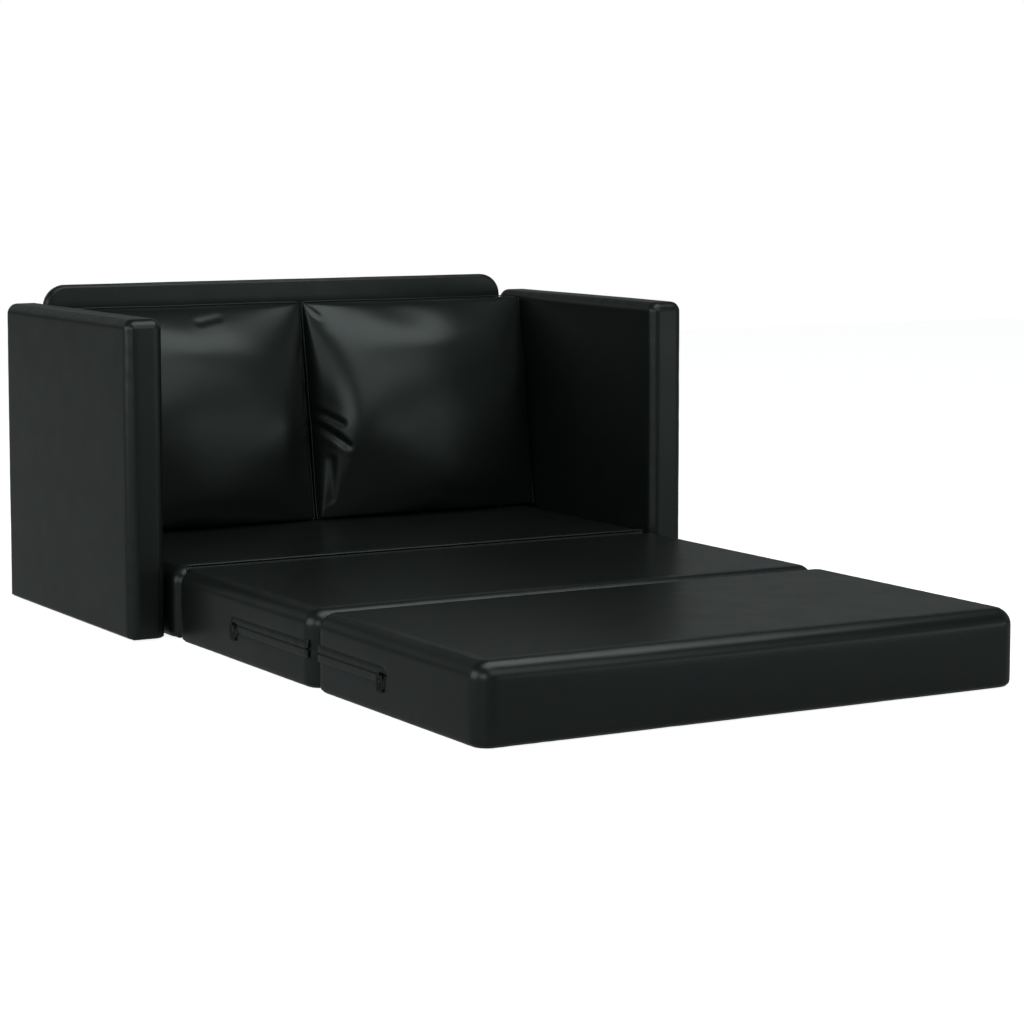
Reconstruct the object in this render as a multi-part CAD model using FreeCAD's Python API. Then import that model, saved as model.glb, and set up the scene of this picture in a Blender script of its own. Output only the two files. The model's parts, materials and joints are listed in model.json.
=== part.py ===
import FreeCAD, Part
import math
import os

# Two-seat futon sofa bed, unfolded: two upholstered arms and a back panel round a fixed base, with two
# folding mattress sections in front of it and two loose back cushions on it.
# Millimetres. Seen from the front, +X is to the right.
# -Y is the front, +Z is up. The origin is on the floor under the middle of the unfolded bed.

os.makedirs("parts", exist_ok=True)

# Driving sizes of the whole object
overall_width = 1178.0
arm_depth = 614.0
arm_height = 579.0
arm_thickness = 72.0
back_height = 612.0
section_height = 133.5

# Soft layers
cover_wall = 1.2
arm_foam_wall = 10.0
base_foam_height = 34.0

# Arms
arm_edge_radius = 20.0
arm_bottom_radius = 8.0
arm_panel_wall = 3.0
arm_post_width = 40.0
arm_bottom_rail_height = 90.0

# Feet and undersides
foot_height = 2.5
foot_radius = 12.0
foot_inset = 45.0
foot_edge_radius = 1.0
bottom_cloth_wall = 0.5
bottom_cloth_inset = 12.0

# Back panel
back_thickness = 22.0
back_board_wall = 12.0
back_corner_radius = 45.0
back_edge_radius = 8.0
back_side_clearance = 4.0
back_floor_clearance = 10.0

# Base and folding sections
section_side_clearance = 9.0
section_corner_radius = 30.0
section_top_radius = 28.0
section_bottom_radius = 10.0
section_floor_clearance = 0.9
base_overhang = 16.0
base_rear_clearance = 18.0
base_rail_wall = 18.0
base_board_wall = 5.0
stack_rear_setback = 34.0
front_section_setback = 8.0
seam_gap = 4.0

# Sewn fold lines
fold_gap = 1.0
rear_welt_radius = 2.0
front_welt_radius = 0.6
welt_flange_height = 50.0
welt_flange_clearance = 0.4
flap_wall = 1.2
flap_clearance = 0.5
fold_line_inset = 22.0

# Back cushions
cushion_height = 434.5
cushion_bottom_depth = 172.0
cushion_top_depth = 128.0
cushion_lean = 46.0
cushion_back_clearance = 8.0
cushion_arm_clearance = 6.0
cushion_middle_gap = 3.0
cushion_edge_radius = 50.0
cushion_side_radius = 34.0
cushion_rest_clearance = 0.6

# Zips on the left side of the folding sections
front_zip_length = 228.0
middle_zip_length = 291.0
zip_end_margin = 20.0
zip_tape_height = 24.0
zip_tape_wall = 0.6
zip_tooth_pitch = 3.0
zip_tooth_length = 1.6
zip_tooth_height = 4.0
zip_tooth_proud = 1.2
zip_stop_length = 3.0
slider_length = 12.0
slider_wall = 1.4
slider_clearance = 0.3
pull_length = 28.0
pull_width = 20.0
pull_wall = 1.0
pull_bar = 4.5
pull_corner_radius = 3.5
pull_eye_radius = 3.6
pull_pin_radius = 1.2
pull_running_clearance = 0.08
pull_side_clearance = 0.3
pull_head_radius = 2.2
pull_head_wall = 0.6

# Corner brackets between arms and back panel
bracket_leg = 40.0
bracket_height = 80.0
bracket_wall = 2.5
bracket_lower_gap = 18.0
bracket_upper_drop = 60.0
bracket_screw_inset = 18.0
bracket_screw_spread = 26.0
screw_radius = 2.2
screw_head_radius = 4.5
screw_head_height = 1.8
arm_screw_length = 32.0
back_screw_length = 15.0
screw_hole_clearance = 0.1

# Bolts that hold the base between the arms
bolt_radius = 4.0
bolt_head_radius = 8.0
bolt_head_height = 5.0
bolt_height = 50.0
bolt_end_inset = 110.0
bolt_hole_clearance = 0.1
washer_radius = 11.0
washer_wall = 1.6
insert_radius = 6.0
insert_length = 22.0
spacer_radius = 12.0

# Worked out from the sizes above
arm_inner_x = overall_width / 2 - arm_thickness
section_half_width = arm_inner_x - section_side_clearance
back_front_to_arm_front = arm_depth - back_thickness
base_length = base_overhang + back_front_to_arm_front - base_rear_clearance
middle_length = base_length - stack_rear_setback
front_length = middle_length - front_section_setback
open_length = arm_depth + base_overhang + middle_length + front_length
front_y = -open_length / 2
rear_y = open_length / 2
arm_front_y = rear_y - arm_depth
back_front_y = rear_y - back_thickness
rear_seam_y = arm_front_y - base_overhang
front_seam_y = rear_seam_y - middle_length
base_rear_y = rear_seam_y + base_length
shell_bottom = foot_height + bottom_cloth_wall
rear_fold_z = section_height + fold_gap / 2
front_fold_z = front_welt_radius
zip_z = section_height / 2
zip_x = -section_half_width

Vector = FreeCAD.Vector
along_x = Vector(1, 0, 0)
along_y = Vector(0, 1, 0)
along_z = Vector(0, 0, 1)


def box(low, high):
    size = [h - l for l, h in zip(low, high)]
    return Part.makeBox(*size, Vector(*low))


def cylinder(radius, length, start, direction):
    return Part.makeCylinder(radius, length, Vector(*start), direction)


def edges_where(shape, test):
    return [edge for edge in shape.Edges if test(edge.BoundBox)]


def flat(low, high):
    return abs(high - low) < 1e-6


def padded_block(low, high, corner, top, bottom):
    """A box with rounded corners in plan and rounded top and bottom edges."""
    shape = box(low, high)
    upright = edges_where(shape, lambda b: flat(b.XMin, b.XMax) and flat(b.YMin, b.YMax))
    shape = shape.makeFillet(corner, upright)
    rim = edges_where(shape, lambda b: flat(b.ZMin, b.ZMax) and flat(b.ZMax, high[2]))
    shape = shape.makeFillet(top, rim)
    rim = edges_where(shape, lambda b: flat(b.ZMin, b.ZMax) and flat(b.ZMin, low[2]))
    return shape.makeFillet(bottom, rim)


def shell_pair(low, high, corner, top, bottom):
    """The cover of a padded block, and the solid that fills it."""
    outer = padded_block(low, high, corner, top, bottom)
    inner_low = [v + cover_wall for v in low]
    inner_high = [v - cover_wall for v in high]
    radii = [r - cover_wall for r in (corner, top, bottom)]
    inner = padded_block(inner_low, inner_high, *radii)
    return outer.cut(inner), inner


def drilled(shape, holes):
    return shape.cut(holes) if holes else shape


def group(shapes):
    return Part.makeCompound(shapes)


def mirrored(shape):
    return shape.mirror(Vector(0, 0, 0), along_x)


def save(name, shape):
    if not shape.isValid():
        raise ValueError(name + " is not a valid shape")
    shape.exportStep("parts/" + name + ".step")
    print(name, len(shape.Solids), "solids", round(shape.Volume / 1000, 1), "cm3")


# Fasteners. Each list holds the right-hand side, and the left-hand side is its mirror image.


def bolt_places():
    first = rear_seam_y + bolt_end_inset
    last = base_rear_y - bolt_end_inset
    return [(y, bolt_height) for y in (first, last)]


def bolt_start_x():
    return section_half_width - cover_wall - base_rail_wall


def bolt_length():
    end = arm_inner_x + cover_wall + arm_foam_wall + arm_panel_wall + insert_length
    return end - bolt_start_x() + washer_wall


def base_bolts():
    shapes = []
    start = bolt_start_x() - washer_wall
    for y, z in bolt_places():
        head = cylinder(bolt_head_radius, bolt_head_height, (start - bolt_head_height, y, z), along_x)
        shank = cylinder(bolt_radius, bolt_length(), (start, y, z), along_x)
        shapes.append(head.fuse(shank))
    return shapes


def base_washers():
    shapes = []
    start = bolt_start_x() - washer_wall
    bore = bolt_radius + bolt_hole_clearance
    for y, z in bolt_places():
        disc = cylinder(washer_radius, washer_wall, (start, y, z), along_x)
        shapes.append(disc.cut(cylinder(bore, washer_wall, (start, y, z), along_x)))
    return shapes


def base_spacers():
    shapes = []
    bore = bolt_radius + bolt_hole_clearance
    for y, z in bolt_places():
        sleeve = cylinder(spacer_radius, section_side_clearance, (section_half_width, y, z), along_x)
        hole = cylinder(bore, section_side_clearance, (section_half_width, y, z), along_x)
        shapes.append(sleeve.cut(hole))
    return shapes


def threaded_inserts():
    shapes = []
    start = arm_inner_x + cover_wall + arm_foam_wall + arm_panel_wall
    bore = bolt_radius + bolt_hole_clearance
    for y, z in bolt_places():
        sleeve = cylinder(insert_radius, insert_length, (start, y, z), along_x)
        shapes.append(sleeve.cut(cylinder(bore, insert_length, (start, y, z), along_x)))
    return shapes


def bolt_holes(radius):
    reach = arm_inner_x + arm_thickness - section_half_width
    return [
        cylinder(radius, reach + base_rail_wall, (bolt_start_x(), y, z), along_x)
        for y, z in bolt_places()
    ]


def insert_holes():
    start = arm_inner_x + cover_wall + arm_foam_wall + arm_panel_wall
    return [cylinder(insert_radius, insert_length, (start, y, z), along_x) for y, z in bolt_places()]


def bracket_floors():
    lower = section_height + bracket_lower_gap
    upper = arm_height - bracket_upper_drop - bracket_height
    return (lower, upper)


def bracket_screw_heights():
    middle = [z + bracket_height / 2 for z in bracket_floors()]
    return [z + step for z in middle for step in (-bracket_screw_spread, bracket_screw_spread)]


def arm_screw_y():
    return back_front_y - bracket_leg + bracket_screw_inset


def back_screw_x():
    return arm_inner_x - bracket_leg + bracket_screw_inset


def screw(start, direction, length, radius):
    """A pan-head screw whose head sits on the surface at start and whose shank runs along direction."""
    shank = Part.makeCylinder(radius, length, start, direction)
    head_start = start - direction * screw_head_height
    return shank.fuse(Part.makeCylinder(screw_head_radius, screw_head_height, head_start, direction))


def bracket_screws():
    shapes = []
    for z in bracket_screw_heights():
        arm_start = Vector(arm_inner_x - bracket_wall, arm_screw_y(), z)
        back_start = Vector(back_screw_x(), back_front_y - bracket_wall, z)
        shapes.append(screw(arm_start, along_x, arm_screw_length, screw_radius))
        shapes.append(screw(back_start, along_y, back_screw_length, screw_radius))
    return shapes


def arm_screw_holes():
    radius = screw_radius + screw_hole_clearance
    start_x = arm_inner_x - bracket_wall
    return [
        cylinder(radius, arm_screw_length + screw_hole_clearance, (start_x, arm_screw_y(), z), along_x)
        for z in bracket_screw_heights()
    ]


def back_screw_holes():
    radius = screw_radius + screw_hole_clearance
    start_y = back_front_y - bracket_wall
    return [
        cylinder(radius, back_screw_length + screw_hole_clearance, (back_screw_x(), start_y, z), along_y)
        for z in bracket_screw_heights()
    ]


def corner_brackets():
    shapes = []
    for floor in bracket_floors():
        arm_leg = box(
            (arm_inner_x - bracket_wall, back_front_y - bracket_leg, floor),
            (arm_inner_x, back_front_y, floor + bracket_height),
        )
        back_leg = box(
            (arm_inner_x - bracket_leg, back_front_y - bracket_wall, floor),
            (arm_inner_x, back_front_y, floor + bracket_height),
        )
        shapes.append(drilled(arm_leg.fuse(back_leg), arm_screw_holes() + back_screw_holes()))
    return shapes


# Arms


def arm_envelope():
    """The timber frame with its panels: foam covers it everywhere but underneath."""
    inset = cover_wall + arm_foam_wall
    low = (arm_inner_x + inset, arm_front_y + inset, shell_bottom + cover_wall)
    high = (arm_inner_x + arm_thickness - inset, rear_y - inset, arm_height - inset)
    return low, high


def arm_frame():
    low, high = arm_envelope()
    low = (low[0] + arm_panel_wall, low[1], low[2])
    high = (high[0] - arm_panel_wall, high[1], high[2])
    gap_low = (low[0], low[1] + arm_post_width, low[2] + arm_bottom_rail_height)
    gap_high = (high[0], high[1] - arm_post_width, high[2] - arm_post_width)
    frame = box(low, high).cut(box(gap_low, gap_high))
    return drilled(frame, insert_holes() + arm_screw_holes())


def arm_panels():
    low, high = arm_envelope()
    inner = box(low, (low[0] + arm_panel_wall, high[1], high[2]))
    outer = box((high[0] - arm_panel_wall, low[1], low[2]), high)
    holes = bolt_holes(bolt_radius + bolt_hole_clearance) + arm_screw_holes()
    return [drilled(inner, holes), outer]


def arm_layers():
    low = (arm_inner_x, arm_front_y, shell_bottom)
    high = (arm_inner_x + arm_thickness, rear_y, arm_height)
    cover, inner = shell_pair(low, high, arm_edge_radius, arm_edge_radius, arm_bottom_radius)
    holes = bolt_holes(bolt_radius + bolt_hole_clearance) + arm_screw_holes()
    foam = inner.cut(box(*arm_envelope()))
    return drilled(cover, holes), drilled(foam, holes)


def arm_bottom_cloth():
    low = (arm_inner_x + bottom_cloth_inset, arm_front_y + bottom_cloth_inset, foot_height)
    high = (arm_inner_x + arm_thickness - bottom_cloth_inset, rear_y - bottom_cloth_inset, shell_bottom)
    return box(low, high)


def foot(x, y):
    disc = cylinder(foot_radius, foot_height, (x, y, 0), along_z)
    rim = edges_where(disc, lambda b: flat(b.ZMin, b.ZMax) and flat(b.ZMin, 0))
    return disc.makeFillet(foot_edge_radius, rim)


def arm_feet():
    x = arm_inner_x + arm_thickness / 2
    return [foot(x, y) for y in (arm_front_y + foot_inset, rear_y - foot_inset)]


# Back panel


def back_solid(inset, corner, edge):
    half = arm_inner_x - back_side_clearance - inset
    low = (-half, back_front_y + inset, back_floor_clearance + inset)
    high = (half, rear_y - inset, back_height - inset)
    shape = box(low, high)
    top_corners = edges_where(
        shape, lambda b: flat(b.XMin, b.XMax) and flat(b.ZMin, b.ZMax) and flat(b.ZMax, high[2])
    )
    shape = shape.makeFillet(corner, top_corners)
    rims = edges_where(shape, lambda b: flat(b.YMin, b.YMax))
    return shape.makeFillet(edge, rims)


def back_parts():
    outer = back_solid(0, back_corner_radius, back_edge_radius)
    inner = back_solid(cover_wall, back_corner_radius - cover_wall, back_edge_radius - cover_wall)
    board_inset = (back_thickness - back_board_wall) / 2
    board = back_solid(board_inset, back_corner_radius - board_inset, back_edge_radius - board_inset)
    holes = back_screw_holes() + [mirrored(hole) for hole in back_screw_holes()]
    return drilled(outer.cut(inner), holes), drilled(inner.cut(board), holes), drilled(board, holes)


# Base between the arms


def base_layers():
    low = (-section_half_width, rear_seam_y + seam_gap / 2, shell_bottom)
    high = (section_half_width, base_rear_y, section_height)
    radii = (section_corner_radius, section_top_radius, section_bottom_radius)
    cover, inner = shell_pair(low, high, *radii)
    holes = bolt_holes(bolt_radius + bolt_hole_clearance)
    holes += [mirrored(hole) for hole in holes]
    foam_floor = section_height - cover_wall - base_foam_height
    board_floor = foam_floor - base_board_wall
    above_foam_floor = box((low[0], low[1], foam_floor), high)
    board_space = box((low[0], low[1], board_floor), (high[0], high[1], foam_floor))
    frame_space = box(low, (high[0], high[1], board_floor))
    foam = inner.common(above_foam_floor)
    board = inner.common(board_space)
    rails = inner.common(frame_space)
    inset = cover_wall + base_rail_wall
    half_centre = base_rail_wall / 2
    for bay_low_x, bay_high_x in (
        (low[0] + inset, -half_centre),
        (half_centre, high[0] - inset),
    ):
        bay = box((bay_low_x, low[1] + inset, 0), (bay_high_x, high[1] - inset, board_floor))
        rails = rails.cut(bay)
    return drilled(cover, holes), foam, board, drilled(rails, holes)


def base_bottom_cloth():
    low = (-section_half_width + bottom_cloth_inset, rear_seam_y + bottom_cloth_inset, foot_height)
    high = (section_half_width - bottom_cloth_inset, base_rear_y - bottom_cloth_inset, shell_bottom)
    return box(low, high)


def base_feet():
    x = section_half_width - foot_inset
    places = [(side, y) for side in (-x, 0, x) for y in (rear_seam_y + foot_inset, base_rear_y - foot_inset)]
    return [foot(*place) for place in places]


# Folding sections


def section_layers(rear, length):
    low = (-section_half_width, rear - length, section_floor_clearance)
    high = (section_half_width, rear, section_height)
    return shell_pair(low, high, section_corner_radius, section_top_radius, section_bottom_radius)


def middle_layers():
    return section_layers(rear_seam_y - seam_gap / 2, middle_length - seam_gap)


def front_layers():
    return section_layers(front_seam_y - seam_gap / 2, front_length - seam_gap / 2)


def welt(seam_y, axis_z, radius, flange_direction):
    """A cord along a fold line, with the flange that is sewn to the section behind it."""
    half = section_half_width - fold_line_inset
    cord = cylinder(radius, 2 * half, (-half, seam_y, axis_z), along_x)
    z_end = axis_z + flange_direction * welt_flange_height
    low = (-half, seam_y + welt_flange_clearance, min(axis_z, z_end))
    high = (half, seam_y + seam_gap / 2, max(axis_z, z_end))
    return cord.fuse(box(low, high))


def flap(seam_y, axis_z, radius, flange_direction):
    """The strip on the face in front of a fold line, clear of the cord that it turns round."""
    half = section_half_width - fold_line_inset
    z_near = axis_z + flange_direction * (radius + flap_clearance)
    z_far = axis_z + flange_direction * welt_flange_height
    low = (-half, seam_y - seam_gap / 2, min(z_near, z_far))
    high = (half, seam_y - seam_gap / 2 + flap_wall, max(z_near, z_far))
    return box(low, high)


# Zips


def zip_tape(start_y, length):
    low = (zip_x - zip_tape_wall, start_y - length, zip_z - zip_tape_height / 2)
    return box(low, (zip_x, start_y, zip_z + zip_tape_height / 2))


def zip_block(low_y, length, proud, height):
    face = zip_x - zip_tape_wall
    return box((face - proud, low_y, zip_z - height / 2), (face, low_y + length, zip_z + height / 2))


def zip_teeth(start_y, length):
    room = length - 2 * zip_stop_length - zip_tooth_pitch
    count = int(room / zip_tooth_pitch)
    first = start_y - length / 2 - (count - 1) * zip_tooth_pitch / 2 - zip_tooth_length / 2
    places = [first + step * zip_tooth_pitch for step in range(count)]
    return [zip_block(y, zip_tooth_length, zip_tooth_proud, zip_tooth_height) for y in places]


def zip_stops(start_y, length):
    height = zip_tooth_height + 2 * slider_wall
    places = (start_y - length, start_y - zip_stop_length)
    return [zip_block(y, zip_stop_length, zip_tooth_proud, height) for y in places]


def slider(low_y):
    face = zip_x - zip_tape_wall
    inside = zip_tooth_proud + slider_clearance
    half_inside = zip_tooth_height / 2 + slider_clearance
    half_outside = half_inside + slider_wall
    shell = box(
        (face - inside - slider_wall, low_y, zip_z - half_outside),
        (face - slider_clearance, low_y + slider_length, zip_z + half_outside),
    )
    channel = box(
        (face - inside, low_y, zip_z - half_inside),
        (face, low_y + slider_length, zip_z + half_inside),
    )
    top_x = face - inside - slider_wall
    pin_length = pull_wall + 2 * pull_side_clearance
    middle_y = low_y + slider_length / 2
    pin = cylinder(pull_pin_radius, pin_length, (top_x, middle_y, zip_z), -along_x)
    head = cylinder(pull_head_radius, pull_head_wall, (top_x - pin_length, middle_y, zip_z), -along_x)
    return shell.cut(channel).fuse([pin, head])


def pull(low_y):
    outer_x = zip_x - zip_tape_wall - zip_tooth_proud - slider_clearance - slider_wall - pull_side_clearance
    middle_y = low_y + slider_length / 2
    near = (outer_x - pull_wall, middle_y - pull_width / 2)
    plate = box((*near, zip_z - pull_length), (outer_x, middle_y + pull_width / 2, zip_z))
    corners = edges_where(plate, lambda b: flat(b.YMin, b.YMax) and flat(b.ZMin, b.ZMax))
    plate = plate.makeFillet(pull_corner_radius, corners)
    window = box(
        (near[0], near[1] + pull_bar, zip_z - pull_length + pull_bar),
        (outer_x, middle_y + pull_width / 2 - pull_bar, zip_z - pull_eye_radius - pull_bar / 2),
    )
    eye = cylinder(pull_eye_radius, pull_wall, (outer_x, middle_y, zip_z), -along_x)
    bore = cylinder(
        pull_pin_radius + pull_running_clearance, pull_wall, (outer_x, middle_y, zip_z), -along_x
    )
    return plate.cut(window).fuse(eye).cut(bore)




# Back cushions


def cushion_solid(inset):
    """Leans back: flat underneath, thicker at the bottom than at the top."""
    low_z = section_height + cushion_rest_clearance + inset
    high_z = section_height + cushion_rest_clearance + cushion_height - inset
    top_rear = back_front_y - cushion_back_clearance - inset
    bottom_rear = top_rear - cushion_lean
    bottom_front = bottom_rear - cushion_bottom_depth + 2 * inset
    top_front = top_rear - cushion_top_depth + 2 * inset
    low_x = cushion_middle_gap / 2 + inset
    high_x = arm_inner_x - cushion_arm_clearance - inset
    outline = [
        Vector(low_x, bottom_rear, low_z),
        Vector(low_x, bottom_front, low_z),
        Vector(low_x, top_front, high_z),
        Vector(low_x, top_rear, high_z),
    ]
    face = Part.Face(Part.makePolygon(outline + outline[:1]))
    shape = face.extrude(along_x * (high_x - low_x))
    long_edges = edges_where(shape, lambda b: flat(b.YMin, b.YMax) and flat(b.ZMin, b.ZMax))
    shape = shape.makeFillet(cushion_edge_radius - inset, long_edges)
    rims = edges_where(shape, lambda b: flat(b.XMin, b.XMax))
    return shape.makeFillet(cushion_side_radius - inset, rims)


def write_sides(name, shapes):
    """Saves the right-hand piece and its mirror image."""
    right = shapes if isinstance(shapes, list) else [shapes]
    save("right_" + name, group(right))
    save("left_" + name, group([mirrored(shape) for shape in right]))


def write_both_sides(name, shapes):
    """Saves the right-hand pieces and their mirror images as one group."""
    save(name, group(shapes + [mirrored(shape) for shape in shapes]))


def write_zip(section, start_y, length, slider_y):
    save(section + "_zip_tape", zip_tape(start_y, length))
    save(section + "_zip_teeth", group(zip_teeth(start_y, length)))
    save(section + "_zip_stops", group(zip_stops(start_y, length)))
    save(section + "_zip_slider", slider(slider_y))
    save(section + "_zip_pull", pull(slider_y))


def main():
    cover, foam = arm_layers()
    write_sides("arm_cover", cover)
    write_sides("arm_foam", foam)
    write_sides("arm_frame", arm_frame())
    write_sides("arm_panels", arm_panels())
    write_sides("arm_bottom_cloth", arm_bottom_cloth())
    write_sides("arm_feet", arm_feet())

    cover, foam, board = back_parts()
    save("back_cover", cover)
    save("back_foam", foam)
    save("back_board", board)
    write_both_sides("corner_brackets", corner_brackets())
    write_both_sides("bracket_screws", bracket_screws())

    cover, foam, board, rails = base_layers()
    save("base_cover", cover)
    save("base_foam", foam)
    save("base_board", board)
    save("base_frame", rails)
    save("base_bottom_cloth", base_bottom_cloth())
    save("base_feet", group(base_feet()))
    write_both_sides("base_bolts", base_bolts())
    write_both_sides("base_washers", base_washers())
    write_both_sides("base_spacers", base_spacers())
    write_both_sides("threaded_inserts", threaded_inserts())

    save("rear_fold_welt", welt(rear_seam_y, rear_fold_z, rear_welt_radius, -1))
    save("rear_fold_flap", flap(rear_seam_y, rear_fold_z, rear_welt_radius, -1))
    save("front_fold_welt", welt(front_seam_y, front_fold_z, front_welt_radius, 1))
    save("front_fold_flap", flap(front_seam_y, front_fold_z, front_welt_radius, 1))

    for section, layers in (("middle", middle_layers()), ("front", front_layers())):
        save(section + "_section_cover", layers[0])
        save(section + "_section_foam", layers[1])

    middle_start = front_seam_y + seam_gap / 2 + zip_end_margin + middle_zip_length
    middle_slider = middle_start - zip_stop_length - slider_length
    write_zip("middle", middle_start, middle_zip_length, middle_slider)
    front_start = front_seam_y - seam_gap / 2 - zip_end_margin
    front_slider = front_start - front_zip_length + zip_stop_length
    write_zip("front", front_start, front_zip_length, front_slider)

    cushion = cushion_solid(0)
    fill = cushion_solid(cover_wall)
    write_sides("cushion_cover", cushion.cut(fill))
    write_sides("cushion_fill", fill)

    print("fold line at the base: y", rear_seam_y, "z", rear_fold_z)
    print("fold line between the sections: y", front_seam_y, "z", front_fold_z)
    print("slider travel: middle", middle_zip_length - 2 * zip_stop_length - slider_length)
    print("slider travel: front", front_zip_length - 2 * zip_stop_length - slider_length)
    print("pull pins: y", middle_slider + slider_length / 2, front_slider + slider_length / 2, "z", zip_z)
    print("lengths: base", base_length, "middle", middle_length, "front", front_length, "open", open_length)
    print("turn radius of the middle section", round(math.hypot(middle_length, section_height), 1))


main()
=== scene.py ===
import json
import math

import bpy
import numpy as np
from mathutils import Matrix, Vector


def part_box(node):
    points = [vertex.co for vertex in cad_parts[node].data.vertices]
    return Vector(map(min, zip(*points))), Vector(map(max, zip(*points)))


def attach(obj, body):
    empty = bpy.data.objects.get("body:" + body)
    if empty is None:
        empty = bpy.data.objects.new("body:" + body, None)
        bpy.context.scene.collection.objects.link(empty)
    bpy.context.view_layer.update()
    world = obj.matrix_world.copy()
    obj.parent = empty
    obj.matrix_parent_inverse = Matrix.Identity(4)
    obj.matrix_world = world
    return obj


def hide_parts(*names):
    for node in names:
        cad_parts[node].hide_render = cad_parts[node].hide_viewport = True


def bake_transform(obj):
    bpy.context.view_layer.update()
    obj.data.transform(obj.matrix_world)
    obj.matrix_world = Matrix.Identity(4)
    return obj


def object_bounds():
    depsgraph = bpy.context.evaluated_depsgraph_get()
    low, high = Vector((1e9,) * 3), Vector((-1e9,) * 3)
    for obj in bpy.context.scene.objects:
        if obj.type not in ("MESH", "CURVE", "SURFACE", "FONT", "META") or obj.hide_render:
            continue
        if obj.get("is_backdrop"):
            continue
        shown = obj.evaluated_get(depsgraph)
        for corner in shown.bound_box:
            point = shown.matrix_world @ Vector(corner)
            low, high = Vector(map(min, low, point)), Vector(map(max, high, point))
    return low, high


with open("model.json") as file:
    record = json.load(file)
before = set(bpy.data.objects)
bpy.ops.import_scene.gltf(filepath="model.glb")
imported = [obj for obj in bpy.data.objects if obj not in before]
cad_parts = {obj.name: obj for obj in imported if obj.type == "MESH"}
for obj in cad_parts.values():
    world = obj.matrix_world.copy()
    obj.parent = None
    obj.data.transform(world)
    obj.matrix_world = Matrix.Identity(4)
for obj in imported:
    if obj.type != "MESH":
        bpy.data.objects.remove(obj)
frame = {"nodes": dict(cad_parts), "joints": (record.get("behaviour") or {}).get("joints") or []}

# Futon sofa bed, unfolded: leather covers, pillows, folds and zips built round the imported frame.
# Metres. The front is -Y and up is +Z.

scene = bpy.context.scene
scene.view_settings.view_transform = "Standard"
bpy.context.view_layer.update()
mm = 0.001


# camera, floor and light
camera = {"place": (-2.5688, -4.5129, 0.8911), "turn": 30.142, "tilt": 5.27, "lens": 101.95, "rise": -0.1}

studio = {
    "floorSize": 14.0, "floorDrop": 0.0006, "floorTone": 0.85, "floorGlow": 0.9, "backgroundGlow": 1.0,
    # room light by direction, from straight down (0) to straight up (1)
    "roomGlow": [(0.47, 0.22), (0.53, 0.05), (0.64, 0.24), (0.80, 0.05)],
    "lightTint": (0.93, 1.0, 0.985),
    "lights": [
        # name, place, aimed at, width, height, watts
        ("overheadSoftbox", (0.3, -0.7, 3.1), (0.0, 0.1, 0.3), 3.4, 2.0, 41.0),
        ("highFrontSoftbox", (0.5, -3.6, 2.7), (0.0, 0.0, 0.3), 3.4, 1.8, 20.0),
        ("leftSoftbox", (-4.6, 0.4, 1.5), (-0.6, 0.5, 0.3), 3.6, 2.6, 47.0),
        ("leftFrontSoftbox", (-4.0, -3.6, 1.6), (-0.3, 0.0, 0.3), 2.6, 2.2, 29.0),
        ("lowFrontStrip", (3.2, -4.2, 0.5), (0.0, -0.4, 0.2), 3.6, 0.9, 9.0),
    ],
}


def makeCamera():
    data = bpy.data.cameras.new("camera")
    data.lens = camera["lens"]
    data.shift_y = camera["rise"]
    item = bpy.data.objects.new("camera", data)
    item.location = camera["place"]
    item.rotation_euler = (math.radians(90 - camera["tilt"]), 0, -math.radians(camera["turn"]))
    scene.collection.objects.link(item)
    scene.camera = item


def makeLights():
    for name, place, aim, width, height, watts in studio["lights"]:
        data = bpy.data.lights.new(name, "AREA")
        data.shape = "RECTANGLE"
        data.size = width
        data.size_y = height
        data.energy = watts
        data.color = studio["lightTint"]
        item = bpy.data.objects.new(name, data)
        item.location = place
        item.rotation_euler = (Vector(aim) - Vector(place)).to_track_quat("-Z", "Y").to_euler()
        item.visible_camera = False
        scene.collection.objects.link(item)


def makeRoom():
    # plain white behind the object; dimmer, uneven room light on it
    world = bpy.data.worlds.new("room")
    scene.world = world
    world.use_nodes = True
    tree = world.node_tree
    tree.nodes.clear()
    direction = tree.nodes.new("ShaderNodeTexCoord")
    split = tree.nodes.new("ShaderNodeSeparateXYZ")
    tree.links.new(direction.outputs["Generated"], split.inputs["Vector"])
    height = tree.nodes.new("ShaderNodeMapRange")
    height.inputs["From Min"].default_value = -1
    tree.links.new(split.outputs["Z"], height.inputs["Value"])
    ramp = tree.nodes.new("ShaderNodeValToRGB")
    tree.links.new(height.outputs["Result"], ramp.inputs["Fac"])
    stops = ramp.color_ramp.elements
    while len(stops) < len(studio["roomGlow"]):
        stops.new(0.5)
    for stop, (position, glow) in zip(stops, studio["roomGlow"]):
        stop.position = position
        stop.color = (*[glow * share for share in studio["lightTint"]], 1)
    rays = tree.nodes.new("ShaderNodeLightPath")
    lit = tree.nodes.new("ShaderNodeBackground")
    tree.links.new(ramp.outputs["Color"], lit.inputs["Color"])
    plain = tree.nodes.new("ShaderNodeBackground")
    plain.inputs["Color"].default_value = (1, 1, 1, 1)
    plain.inputs["Strength"].default_value = studio["backgroundGlow"]
    either = tree.nodes.new("ShaderNodeMixShader")
    tree.links.new(rays.outputs["Is Camera Ray"], either.inputs["Fac"])
    tree.links.new(lit.outputs["Background"], either.inputs[1])
    tree.links.new(plain.outputs["Background"], either.inputs[2])
    output = tree.nodes.new("ShaderNodeOutputWorld")
    tree.links.new(either.outputs["Shader"], output.inputs["Surface"])


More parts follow.
